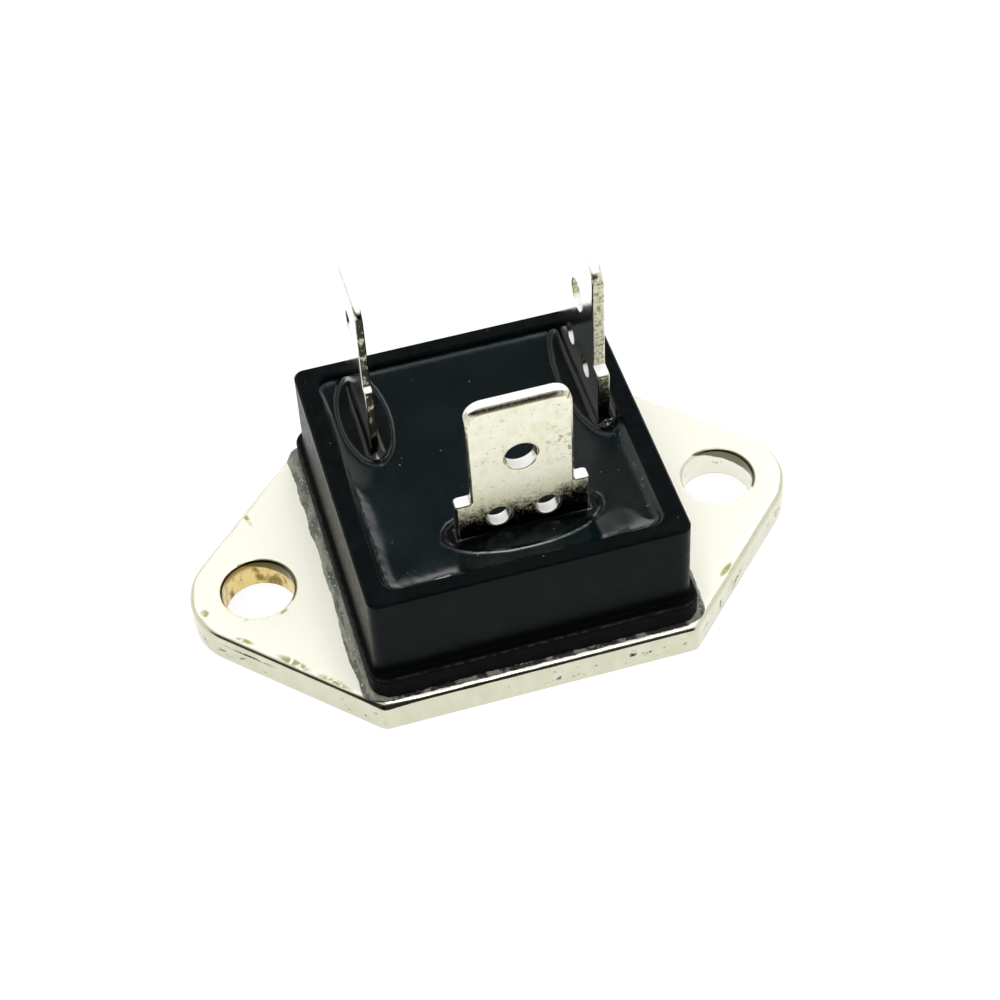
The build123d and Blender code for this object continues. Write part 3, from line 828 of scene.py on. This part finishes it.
def stand_terminal(name, node, blank, holes, sheet, edges, turned):
    """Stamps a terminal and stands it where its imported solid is, facing the front (0),
    right (90) or left (-90 degrees)."""
    low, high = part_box(node)
    middle = (low + high) / 2
    thick = sheet * MM
    if turned == 0:
        reach = high.y - low.y
        outer = Vector((middle.x, low.y, low.z))
        x0, x1, y0, y1 = low.x, high.x, low.y, low.y + thick
    else:
        reach = high.x - low.x
        outer = Vector((high.x if turned > 0 else low.x, middle.y, low.z))
        x0, x1 = (high.x - thick, high.x) if turned > 0 else (low.x, low.x + thick)
        y0, y1 = low.y, high.y
    uprights[node] = (
        Vector(((x0 + x1) / 2 / MM, (y0 + y1) / 2 / MM)),
        Vector(((x1 - x0) / 2 / MM, (y1 - y0) / 2 / MM)),
    )
    piece = stamping(name, blank(reach / MM), holes, sheet, edges)
    piece.data.transform(Matrix.Translation(outer) @ turned_about("Z", turned))
    fit(piece, node, tab_nickel)


tab_nickel = tab_material()
main_edges = coined(SHOULDER_HEIGHT + 6.2, 0.9, (0.16, 0.12, 0.05), (0.5, 0.25, 0.1))
gate_edges = coined(GATE_SHOULDER_HEIGHT + 4.8, 0.8, (0.1, 0.08, 0.04), (0.3, 0.15, 0.08))
for name, node, turned in (
    ("front_terminal", "main_terminal_2", 0),
    ("rear_terminal", "main_terminal_1", 90),
):
    stand_terminal(name, node, main_blank, MAIN_HOLES, SHEET, main_edges, turned)
stand_terminal(
    "gate_tab_terminal", "gate_terminal", gate_blank, GATE_HOLES, GATE_SHEET, gate_edges, -90
)

# ---------------------------------------------------------------------------------------
# Case: black glass-filled plastic, moulded as four drafted walls on a stepped flange.
# Its left wall is painted paler, a sheen of the bright plate beside it, and the flange's upper edge
# has a painted highlight.
# ---------------------------------------------------------------------------------------
CASE_BLACK = (0.0018, 0.0031, 0.0034, 1)
CASE_SCUFF = (0.0036, 0.0055, 0.0057, 1)
CASE_SHADED = (0.0002, 0.0003, 0.0003, 1)
CASE_EDGE_HIGHLIGHT = (0.03, 0.036, 0.035, 1)
CASE_LEFT_SHEEN = (0.018, 0.019, 0.016, 1)
FLANGE_TOP = 4.0


def case_material():
    coat = Finish("case_plastic", Specular_IOR_Level=0.05)
    facing = coat.facing()
    height = coat.spot()["Z"]
    skin = coat.speckle(2300.0, detail=6.0)
    worn = coat.ramp(coat.speckle(500.0, detail=5.0), 0.5, 0.75)
    colour = coat.blend(worn, CASE_BLACK, CASE_SCUFF)
    # painted sheen: the left wall is lightened, with streaks, where it mirrors the bright plate
    left_side = coat.ramp(facing["X"], -0.8, -0.95)
    streaks = coat.speckle(700.0, detail=5.0, stretch=(1, 1, 0.3))
    left_sheen = coat.times(left_side, coat.ramp(streaks, 0.3, 0.7, 0.5, 1.0))
    colour = coat.blend(left_sheen, colour, CASE_LEFT_SHEEN)
    low_down = coat.ramp(height, (FLANGE_TOP + 0.7) * MM, (FLANGE_TOP + 0.1) * MM, 0, 0.95)
    colour = coat.blend(coat.times(low_down, coat.beyond(left_side)), colour, CASE_SHADED)
    # painted highlight: a pale broken line along the flange's upper rounded edge
    edge_highlight = coat.times(
        coat.ramp(facing["Z"], 0.35, 0.6), coat.ramp(facing["Z"], 0.97, 0.85),
        coat.ramp(height, (FLANGE_TOP + 0.03) * MM, (FLANGE_TOP - 0.02) * MM),
        coat.ramp(skin, 0.42, 0.62, 0.1, 0.5),
    )
    coat.feed("Base Color", coat.blend(edge_highlight, colour, CASE_EDGE_HIGHLIGHT))
    duller = coat.ramp(height, (FLANGE_TOP + 0.6) * MM, (FLANGE_TOP + 0.1) * MM, 0, 0.3)
    coat.feed("Roughness", coat.plus(coat.ramp(skin, 0.3, 0.7, 0.28, 0.4), duller))
    coat.grain(skin, 0.012 * MM)
    return coat.material


dress("case", case_material())

# ---------------------------------------------------------------------------------------
# Adhesive: grey-green filled paste, laid on the plate before the case was pressed down.
# It squeezed out into an uneven bead, wide at the sides and thin at the front and back.
# ---------------------------------------------------------------------------------------
PASTE = (0.23, 0.24, 0.19, 1)
PASTE_PALE = (0.46, 0.48, 0.41, 1)
PASTE_DARK = (0.07, 0.077, 0.062, 1)
PASTE_CRUMB = (0.13, 0.135, 0.115, 1)
PASTE_BLACK = (0.003, 0.0035, 0.003, 1)
BEAD_STEPS = 12
SUNK = 0.01  # how far the bead reaches into the plate


def paste_material():
    coat = Finish("adhesive_paste", Specular_IOR_Level=0.35)
    streak = coat.speckle(2400.0, detail=6.0, stretch=(1, 0.2, 1), roughness=0.6)
    lump = coat.speckle(5200.0, detail=5.0)
    colour = coat.blend(coat.ramp(streak, 0.38, 0.62), PASTE_DARK, PASTE)
    colour = coat.blend(coat.ramp(lump, 0.58, 0.7), colour, PASTE_PALE)
    # at the front only crumbs of it show in the shadow under the flange
    in_front = coat.ramp(coat.spot()["Y"], -9.9 * MM, -10.6 * MM)
    crumbs = coat.ramp(coat.speckle(1100.0, detail=6.0, roughness=0.6), 0.47, 0.54)
    shaded = coat.blend(crumbs, PASTE_BLACK, PASTE_CRUMB)
    coat.feed("Base Color", coat.blend(in_front, colour, shaded))
    coat.feed("Roughness", coat.ramp(lump, 0.3, 0.7, 0.35, 0.6))
    coat.grain(coat.plus(streak, lump), 0.07 * MM)
    return coat.material


def frame_path(half_x, half_y, radius, pitch, centre=Vector((0, 0))):
    """Points round a rounded rectangle, anticlockwise, no further apart than the pitch."""
    corners = [
        (centre.x + x * half_x, centre.y + y * half_y, radius)
        for x, y in ((-1, -1), (1, -1), (1, 1), (-1, 1))
    ]
    return even(rounded(corners), pitch)


def squeeze_out(point, way):
    """Width and height of the bead outside the flange, in millimetres."""
    along = noise.noise(Vector((point.x * 0.45, point.y * 0.45, 3.1)))
    ripple = noise.noise(Vector((point.x * 1.7, point.y * 1.7, 8.2)))
    crumb = noise.noise(Vector((point.x * 4.5, point.y * 4.5, 1.7)))
    sideways = abs(way.x)
    width = 0.13 + 0.53 * sideways ** 3 + (0.04 + 0.18 * sideways) * along + 0.035 * ripple
    width += 0.04 * crumb
    height = 0.26 + 0.22 * sideways + 0.12 * along + 0.05 * ripple + 0.09 * crumb
    return max(width, 0.05), max(height, 0.1)


def bead_section(point, way, gel, foot, top):
    """One section through the paste, from the gel's side out over the bead."""
    width, height = squeeze_out(point, way)
    inside = [max(min(point[i], gel[1][i] / MM), gel[0][i] / MM) for i in (0, 1)]
    tucked = point - way * 0.03
    section = [(*inside, foot), (*inside, top), (tucked.x, tucked.y, top + 0.01)]
    for k in range(BEAD_STEPS + 1):
        share = k / BEAD_STEPS
        swell = noise.noise(Vector((point.x * 2.6, point.y * 2.6, share * 2.5)))
        level = height * (1 - share ** 2.1) ** 0.62 + 0.05 * swell * math.sin(math.pi * share)
        out = point + way * ((width + 0.02) * share - 0.02)
        section.append((out.x, out.y, foot + max(level, 0)))
    return section


def lay_adhesive():
    low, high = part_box("case")
    outline = frame_path(high.x / MM, high.y / MM, 1.15, 0.12)
    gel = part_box("silicone_gel")
    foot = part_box("base_plate")[1].z / MM - SUNK
    verts, faces = [], []
    for point, way in zip(outline, inwards(outline)):
        verts += bead_section(point, -way, gel, foot, low.z / MM)
    row = BEAD_STEPS + 4
    for first in range(0, len(verts), row):
        after = (first + row) % len(verts)
        pairs = [(k, (k + 1) % row) for k in range(row)]
        faces += [(first + k, first + m, after + m, after + k) for k, m in pairs]
    bead = add_mesh("adhesive_bead", verts, faces)
    fit(bead, "case_adhesive", paste_material())


lay_adhesive()

# ---------------------------------------------------------------------------------------
# Silicone gel: clear and soft, poured over the chip and its wire so that the hard resin
# above doesn't pull on them as it warms and cools.
# ---------------------------------------------------------------------------------------
GEL_TONES = ((0.93, 0.94, 0.93, 1), (0.86, 0.88, 0.86, 1))

gel = mottled(
    "silicone_gel", GEL_TONES, 300.0, 0, low=0.3, Roughness=0.12, Transmission_Weight=0.85, IOR=1.41
)
dress("silicone_gel", gel)

# ---------------------------------------------------------------------------------------
# Potting: black epoxy poured on the gel to just under the rim and cured glossy.
# It has crept up the walls and the terminals, and each creep ends in a faint ridge.
# ---------------------------------------------------------------------------------------
EPOXY_BLACK = (0.0018, 0.0050, 0.0056, 1)
EPOXY_HAZED = (0.0036, 0.0085, 0.0095, 1)
EPOXY_SHADED = (0.0002, 0.0003, 0.0003, 1)
BELOW_RIM = 0.75
POOL_CORNER = 0.9
RIM_PITCH = 0.16
WALL_CREEP = 0.46
MOST_CREEP = 0.7
LEAF_RISE = 0.14
CREASE = 0.06
CREEPS = (  # terminal, the creep's height and spread on it, and the leaf-shaped patch round it
    ("main_terminal_2", 0.06, 0.14, (0.8, 1.65)),
    ("main_terminal_1", 0.36, 0.17, (1.25, 0.95)),
    ("gate_terminal", 0.36, 0.15, (1.3, 0.9)),
)
RING_OFFSETS = (
    0.04, 0.09, 0.15, 0.22, 0.29, 0.36, 0.43, 0.5, 0.57, 0.64, 0.71, 0.78, 0.85, 0.92, 1.0,
    1.08, 1.18, 1.3, 1.5, 1.75,
)
LEAF_OFFSETS = (
    -0.4, -0.26, -0.17, -0.12, -0.08, -0.045, -0.015, 0.015, 0.045, 0.08, 0.12, 0.17, 0.26, 0.4,
)
LEAF_POINTS = 240

pool_half = Vector([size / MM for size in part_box("potting_resin")[1].xy])
resin_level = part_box("case")[1].z / MM - BELOW_RIM
posts = [  # middle, half size, creep, spread and half size of the leaf of each upright
    (*uprights[node], creep, spread, uprights[node][1] + Vector(leaf))
    for node, creep, spread, leaf in CREEPS
]


def epoxy_material():
    coat = Finish("epoxy_gloss", Specular_IOR_Level=0.4)
    haze = coat.speckle(260.0, detail=3.0)
    skin = coat.speckle(4200.0, detail=5.0)
    colour = coat.blend(coat.ramp(haze, 0.35, 0.7), EPOXY_BLACK, EPOXY_HAZED)
    # blacker where it stands in the shade of a terminal
    for middle, half in uprights.values():
        away = coat.vector("SUBTRACT", coat.place, Vector((*middle, 0)) * MM)
        away = coat.vector("MULTIPLY", coat.vector("ABSOLUTE", away), (1, 1, 0))
        away = coat.vector("SUBTRACT", away, Vector((*half, 0)) * MM)
        distance = coat.vector("LENGTH", coat.vector("MAXIMUM", away, (0, 0, 0)))
        shade = coat.ramp(distance, 1.4 * MM, 0.3 * MM, 0, 0.85)
        colour = coat.blend(shade, colour, EPOXY_SHADED)
    coat.feed("Base Color", colour)
    coat.feed("Roughness", coat.ramp(skin, 0.3, 0.7, 0.17, 0.23))
    coat.grain(haze, 0.03 * MM, strength=0.6)
    return coat.material


def eased(share):
    """A share held between 0 and 1, and slowed at both ends."""
    share = clamped(share)
    return share * share * (3 - 2 * share)


def ridge(distance):
    """A narrow rounded ridge, 1 high, where the distance is nothing."""
    return math.exp(-0.5 * distance * distance) if abs(distance) < 4 else 0.0


def soft_step(value, blur):
    """The value where it's positive, and nothing below, with a rounded turn."""
    return (value + math.sqrt(value * value + blur * blur)) / 2 if value > -4 * blur else 0.0


def to_box(point, centre, half, radius=0.0):
    """Distance from a point to an upright box with rounded corners, negative inside."""
    x = abs(point.x - centre.x) - half.x + radius
    y = abs(point.y - centre.y) - half.y + radius
    outside = math.hypot(max(x, 0), max(y, 0))
    return outside + min(max(x, y), 0) - radius


def to_wall(point):
    """Distance from a point in the resin to the case's wall."""
    return -to_box(point, Vector((0, 0)), pool_half, POOL_CORNER)


def clearance(point):
    """Distance from a point to the nearest wall or terminal."""
    return min([to_wall(point)] + [to_box(point, centre, size) for centre, size, *_ in posts])


def shelf_shares(point):
    """How far the resin hangs from a shelf at the front corners, and half way back on the
    left."""
    aside = eased((abs(point.x - 0.65) - 2.9) / 2.6)
    front = clamped(-0.2 * point.y - 0.9) * (0.15 + 0.85 * aside)
    left = clamped(-0.16 * (point.x + point.y) - 0.7) * clamped(-0.5 * point.x - 1.4)
    return front, left


def dish(point, wall, wander):
    """Rise where it's drawn up wide to the right of the front terminal, and where it's
    dished to the back and right."""
    beside = eased(clamped((point.x - 3.6) / 1.2) * clamped((8.8 - point.x) / 2.4))
    rise = 0.08 * max(0.35 - wall, 0)
    rise += 0.17 * soft_step(2.4 * beside + 0.25 * wander - pool_half.y - point.y, 0.25)
    rise += 0.27 * max(1 - (pool_half.y - point.y) / 4.0, 0) ** 2
    return rise + 0.34 * max(1 - (pool_half.x - point.x) / 2.4, 0) ** 2


def epoxy_surface(point):
    """Height of the cured surface."""
    wander = noise.noise(Vector((point.x * 0.5, point.y * 0.5, 5.0)))
    fine = noise.noise(Vector((point.x * 2.2, point.y * 2.2, 1.0)))
    wall = max(to_wall(point), 0)
    front, left = shelf_shares(point)
    drawn = max(front, left)
    shelf = 0.3 + 0.12 * wander + 0.05 * fine
    pull = max(0.42 * front, 0.3 * left)
    hung = pull * math.exp(-max(wall - shelf, 0) / (0.68 + 0.25 * wander))
    creep = WALL_CREEP * (1 - 0.9 * drawn) * (0.05 + 0.95 * min((pool_half.y - point.y) / 3, 1))
    risen = dish(point, wall, wander) + creep * math.exp(-wall / 0.16)
    rise = (MOST_CREEP * math.tanh(risen / MOST_CREEP)) ** 3 + hung ** 3
    crease = drawn * (1.1 + 0.9 * fine) * ridge((wall - shelf) / 0.055)
    for centre, size, creep, spread, leaf in posts:
        away = max(to_box(point, centre, size), 0)
        rise += (creep * math.exp(-away / spread)) ** 3
        apart = point - centre
        share = math.hypot(apart.x / leaf.x, apart.y / leaf.y)
        rise += (LEAF_RISE * max(1 - share, 0)) ** 3
        crease += ridge((share - 1 - 0.02 * fine) * min(leaf) / 0.065)
        if size.y > size.x:
            near_end = Vector((centre.x, centre.y - size.y - 0.25))
            crease += 2.2 * ridge((point - near_end).length / 0.2)
    return resin_level + rise ** (1 / 3) + CREASE * crease + 0.01 * wander


def resin_points():
    """Points over the surface, close together where it rises or has a ridge."""
    points = []
    for offset in RING_OFFSETS:
        pitch = 0.14 + 0.12 * offset
        corner = max(POOL_CORNER - offset * 0.5, 0.3)
        ring = frame_path(pool_half.x - offset, pool_half.y - offset, corner, pitch)
        points += [p for p in ring if clearance(p) > offset - 0.01]
        for centre, size, *_ in posts:
            if offset > 0.6:
                continue
            ring = frame_path(size.x + offset, size.y + offset, offset, pitch)
            points += [p + centre for p in ring if clearance(p + centre) > offset - 0.01]
    for centre, size, _, _, leaf in posts:
        for offset in LEAF_OFFSETS:
            share = 1 + offset / min(leaf)
            for k in range(LEAF_POINTS):
                lean = 2 * math.pi * (k + 0.5 * (offset > 0)) / LEAF_POINTS
                point = centre + Vector((leaf.x * math.cos(lean), leaf.y * math.sin(lean))) * share
                if to_box(point, centre, size) > 0.3 and to_wall(point) > 0.1:
                    points.append(point)
    for pitch, least in ((0.45, RING_OFFSETS[-1] + 0.15), (0.15, 0.25)):
        across, deep = int(pool_half.x / pitch), int(pool_half.y / pitch)
        for i in range(-across, across + 1):
            for j in range(-deep, deep + 1):
                point = Vector((i * pitch + 0.1 * pitch * (j % 2), j * pitch))
                wanted = pitch > 0.2 or (point.x > 3.4 and point.y < -5.9)
                if wanted and to_wall(point) > least and clearance(point) > 0.3:
                    points.append(point)
    return points


def pour_epoxy():
    loops = [frame_path(pool_half.x, pool_half.y, POOL_CORNER, RIM_PITCH)]
    loops += [frame_path(*size, 0, RIM_PITCH, centre)[::-1] for centre, size, *_ in posts]
    extra = resin_points()
    rims = [p for loop in loops for p in loop]
    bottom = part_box("potting_resin")[0].z / MM
    verts = [(p.x, p.y, epoxy_surface(p)) for p in rims + extra]
    under = len(verts)
    verts += [(p.x, p.y, bottom) for p in rims]
    faces = [tuple(t) for t in fill(loops, extra)]
    first = 0
    for loop in loops:
        faces += band(first, under + first, len(loop))
        first += len(loop)
    faces += [tuple(under + i for i in t[::-1]) for t in fill(loops)]
    pool = add_mesh("potting_pool", verts, faces)
    pool.data.set_sharp_from_angle(angle=math.radians(50))
    fit(pool, "potting_resin", epoxy_material())


pour_epoxy()

# ---------------------------------------------------------------------------------------
# Dust: a few pale fibres and flecks that settled on the resin and on the case, and a
# crumbly line of them along the right wall.
# ---------------------------------------------------------------------------------------
DUST_TONES = ((0.10, 0.11, 0.11, 1), (0.34, 0.35, 0.33, 1))
FLECKS = 46
CRUMBS = 60
LARGE_FLECKS = (  # x, y and size in millimetres, on the resin
    (0.7, 6.3, 0.11),
    (6.2, -3.4, 0.09),
    (-5.2, 0.9, 0.13),
    (-1.9, -4.6, 0.09),
)


def settle_dust():
    chance = random.Random(7)
    case_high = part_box("case")[1] / MM
    spots = [(x, y, size, 1.0) for x, y, size in LARGE_FLECKS]
    while len(spots) < FLECKS:
        x = chance.uniform(-case_high.x + 0.6, case_high.x - 0.6)
        y = chance.uniform(-case_high.y + 1.0, case_high.y - 1.0)
        spots.append((x, y, chance.uniform(0.025, 0.06), chance.uniform(1, 4)))
    for _ in range(CRUMBS):
        y = chance.uniform(-7.6, 0.4)
        x = pool_half.x - 0.45 + 0.16 * math.sin(y) + chance.gauss(0, 0.1)
        spots.append((x, y, chance.uniform(0.02, 0.05), chance.uniform(1, 3)))
    verts, faces = [], []
    for x, y, size, length in spots:
        inside = abs(x) < pool_half.x - 0.2 and abs(y) < pool_half.y - 0.2
        on_wall = abs(x) > pool_half.x + 0.2 or abs(y) > pool_half.y + 0.2
        if not inside and not on_wall:
            continue
        z = epoxy_surface(Vector((x, y))) if inside else case_high.z
        first = len(verts)
        lean = chance.uniform(0, math.pi)
        for k in range(6):
            spread = 2 * math.pi * k / 6
            along, across = size * length * math.cos(spread) / 2, size * math.sin(spread) / 2
            turned = Matrix.Rotation(lean, 2) @ Vector((along, across))
            verts.append((x + turned.x, y + turned.y, z + size * chance.uniform(0.1, 0.3)))
        verts += [(x, y, z + size * 0.45), (x, y, z - 0.01)]
        for k in range(6):
            m = (k + 1) % 6
            faces += [(first + k, first + m, first + 6), (first + m, first + k, first + 7)]
    flecks = add_mesh("dust_flecks", verts, faces)
    flecks.data.materials.append(mottled("dust", DUST_TONES, 1900.0, 0.01, Roughness=0.9))
    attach(flecks, "root")


settle_dust()
